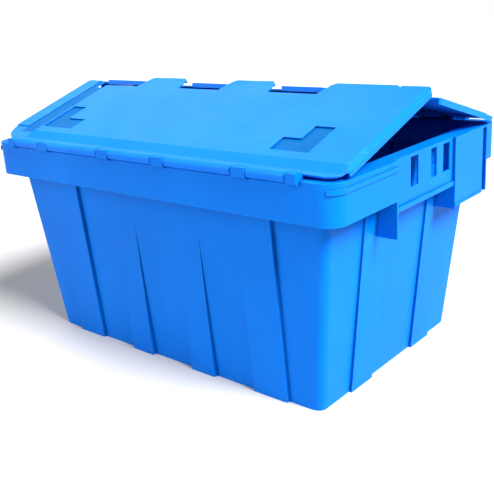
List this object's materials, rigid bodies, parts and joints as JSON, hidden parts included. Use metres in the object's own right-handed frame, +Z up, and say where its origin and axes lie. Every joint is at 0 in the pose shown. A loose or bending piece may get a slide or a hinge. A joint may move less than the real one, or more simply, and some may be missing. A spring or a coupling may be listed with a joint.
{
  "type": "attached-lid stacking crate",
  "caption": "Tapered plastic storage crate with a deep rim band, end hand holds and a hinged lid whose interleaving flaps stand half open as a tent.",
  "frame": {"origin": "centre of the footprint, on the surface the crate stands on", "axes": "+X along the crate's length, +Z up, -Y towards the front long side"},
  "size_m": [0.5996, 0.4, 0.3596],
  "materials": {
    "tub_plastic": "blue injection-moulded polypropylene, fine matte mould texture",
    "lid_plastic": "blue injection-moulded polypropylene, fine matte mould texture",
    "hinge_steel": "drawn, zinc-coated steel wire"
  },
  "bodies": {
    "tub": {"tub": "tub_plastic", "front_hinge_wire": "hinge_steel", "rear_hinge_wire": "hinge_steel"},
    "front_flap": {"front_flap": "lid_plastic"},
    "rear_flap": {"rear_flap": "lid_plastic"}
  },
  "joints": [
    {"name": "front_flap_hinge", "type": "hinge", "parent": "tub", "child": "front_flap", "pos_m": [0, -0.1935, 0.292], "axis": [1, 0, 0], "range_deg": [-18, 236]},
    {"name": "rear_flap_hinge", "type": "hinge", "parent": "tub", "child": "rear_flap", "pos_m": [0, 0.1935, 0.292], "axis": [-1, 0, 0], "range_deg": [-16.6, 237.4]}
  ]
}
